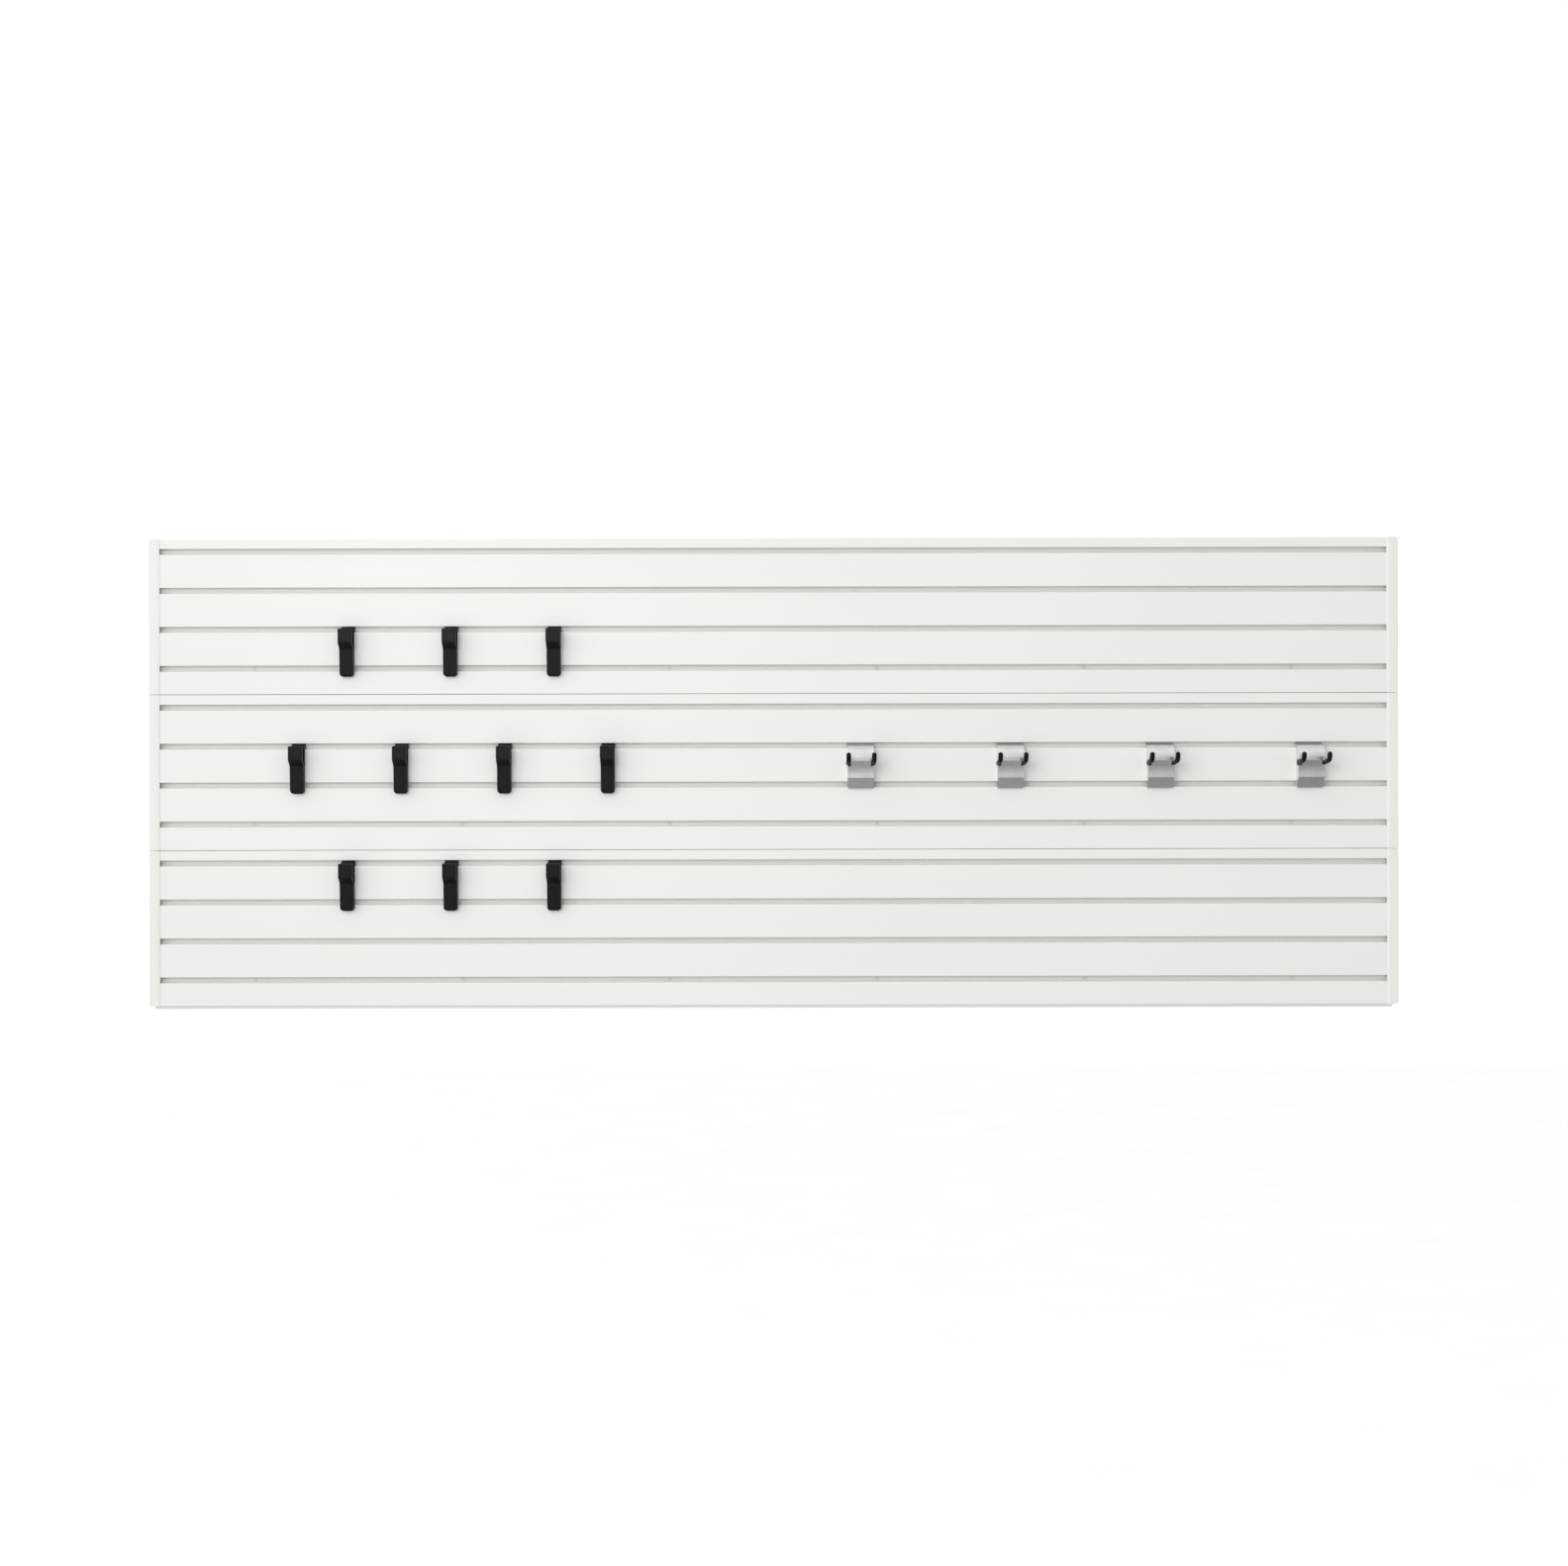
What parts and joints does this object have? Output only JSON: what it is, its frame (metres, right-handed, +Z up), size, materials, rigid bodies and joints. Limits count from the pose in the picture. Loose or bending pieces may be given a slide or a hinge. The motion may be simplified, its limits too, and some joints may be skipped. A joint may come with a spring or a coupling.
{
  "type": "slatwall panel",
  "caption": "Wide white wall panel set of interlocking slotted slats with end trims, black open-topped slot hooks and silver twin-prong slot brackets.",
  "frame": {"origin": "centre of the middle panel's flat back face, on the wall plane", "axes": "+X to the right as seen from the room, +Y into the wall, +Z up"},
  "size_m": [2.444, 0.1188, 0.92],
  "materials": {
    "white_pvc": "satin white extruded PVC with fine lengthwise extrusion lines",
    "white_trim": "satin white extruded PVC",
    "white_screw": "white painted countersunk head",
    "black_plastic": "satin black moulded plastic with a fine texture",
    "satin_steel": "satin silver plated pressed steel",
    "bare_rod": "plain grey steel rod",
    "black_vinyl": "semi-matt black vinyl sleeve"
  },
  "bodies": {
    "panel_set": {"slat_panel_top": "white_pvc", "slat_panel_middle": "white_pvc", "slat_panel_bottom": "white_pvc", "end_trim_top_left": "white_trim", "end_trim_top_right": "white_trim", "end_trim_middle_left": "white_trim", "end_trim_middle_right": "white_trim", "end_trim_bottom_left": "white_trim", "end_trim_bottom_right": "white_trim", "screw_top_1": "white_screw", "screw_top_2": "white_screw", "screw_top_3": "white_screw", "screw_top_4": "white_screw", "screw_top_5": "white_screw", "screw_top_6": "white_screw", "screw_middle_1": "white_screw", "screw_middle_2": "white_screw", "screw_middle_3": "white_screw", "screw_middle_4": "white_screw", "screw_middle_5": "white_screw", "screw_middle_6": "white_screw", "screw_bottom_1": "white_screw", "screw_bottom_2": "white_screw", "screw_bottom_3": "white_screw", "screw_bottom_4": "white_screw", "screw_bottom_5": "white_screw", "screw_bottom_6": "white_screw"},
    "hook_top_1": {"hook_top_1": "black_plastic"},
    "hook_top_2": {"hook_top_2": "black_plastic"},
    "hook_top_3": {"hook_top_3": "black_plastic"},
    "hook_middle_1": {"hook_middle_1": "black_plastic"},
    "hook_middle_2": {"hook_middle_2": "black_plastic"},
    "hook_middle_3": {"hook_middle_3": "black_plastic"},
    "hook_middle_4": {"hook_middle_4": "black_plastic"},
    "hook_bottom_1": {"hook_bottom_1": "black_plastic"},
    "hook_bottom_2": {"hook_bottom_2": "black_plastic"},
    "hook_bottom_3": {"hook_bottom_3": "black_plastic"},
    "bracket_1": {"bracket_1_body": "satin_steel", "bracket_1_prong_rod": "bare_rod", "bracket_1_sleeve_left": "black_vinyl", "bracket_1_sleeve_right": "black_vinyl"},
    "bracket_2": {"bracket_2_body": "satin_steel", "bracket_2_prong_rod": "bare_rod", "bracket_2_sleeve_left": "black_vinyl", "bracket_2_sleeve_right": "black_vinyl"},
    "bracket_3": {"bracket_3_body": "satin_steel", "bracket_3_prong_rod": "bare_rod", "bracket_3_sleeve_left": "black_vinyl", "bracket_3_sleeve_right": "black_vinyl"},
    "bracket_4": {"bracket_4_body": "satin_steel", "bracket_4_prong_rod": "bare_rod", "bracket_4_sleeve_left": "black_vinyl", "bracket_4_sleeve_right": "black_vinyl"}
  },
  "joints": [
    {"name": "hook_top_1_slide", "type": "slide", "parent": "panel_set", "child": "hook_top_1", "axis": [1, 0, 0], "range_m": [-0.354, 0.086]},
    {"name": "hook_top_2_slide", "type": "slide", "parent": "panel_set", "child": "hook_top_2", "axis": [1, 0, 0], "range_m": [-0.086, 0.085]},
    {"name": "hook_top_3_slide", "type": "slide", "parent": "panel_set", "child": "hook_top_3", "axis": [1, 0, 0], "range_m": [-0.085, 1.614]},
    {"name": "hook_middle_1_slide", "type": "slide", "parent": "panel_set", "child": "hook_middle_1", "axis": [1, 0, 0], "range_m": [-0.257, 0.085]},
    {"name": "hook_middle_2_slide", "type": "slide", "parent": "panel_set", "child": "hook_middle_2", "axis": [1, 0, 0], "range_m": [-0.085, 0.086]},
    {"name": "hook_middle_3_slide", "type": "slide", "parent": "panel_set", "child": "hook_middle_3", "axis": [1, 0, 0], "range_m": [-0.086, 0.086]},
    {"name": "hook_middle_4_slide", "type": "slide", "parent": "panel_set", "child": "hook_middle_4", "axis": [1, 0, 0], "range_m": [-0.086, 0.224]},
    {"name": "hook_bottom_1_slide", "type": "slide", "parent": "panel_set", "child": "hook_bottom_1", "axis": [1, 0, 0], "range_m": [-0.354, 0.086]},
    {"name": "hook_bottom_2_slide", "type": "slide", "parent": "panel_set", "child": "hook_bottom_2", "axis": [1, 0, 0], "range_m": [-0.086, 0.085]},
    {"name": "hook_bottom_3_slide", "type": "slide", "parent": "panel_set", "child": "hook_bottom_3", "axis": [1, 0, 0], "range_m": [-0.085, 1.614]},
    {"name": "bracket_1_slide", "type": "slide", "parent": "panel_set", "child": "bracket_1", "axis": [1, 0, 0], "range_m": [-0.224, 0.115]},
    {"name": "bracket_2_slide", "type": "slide", "parent": "panel_set", "child": "bracket_2", "axis": [1, 0, 0], "range_m": [-0.115, 0.115]},
    {"name": "bracket_3_slide", "type": "slide", "parent": "panel_set", "child": "bracket_3", "axis": [1, 0, 0], "range_m": [-0.115, 0.115]},
    {"name": "bracket_4_slide", "type": "slide", "parent": "panel_set", "child": "bracket_4", "axis": [1, 0, 0], "range_m": [-0.115, 0.125]}
  ]
}
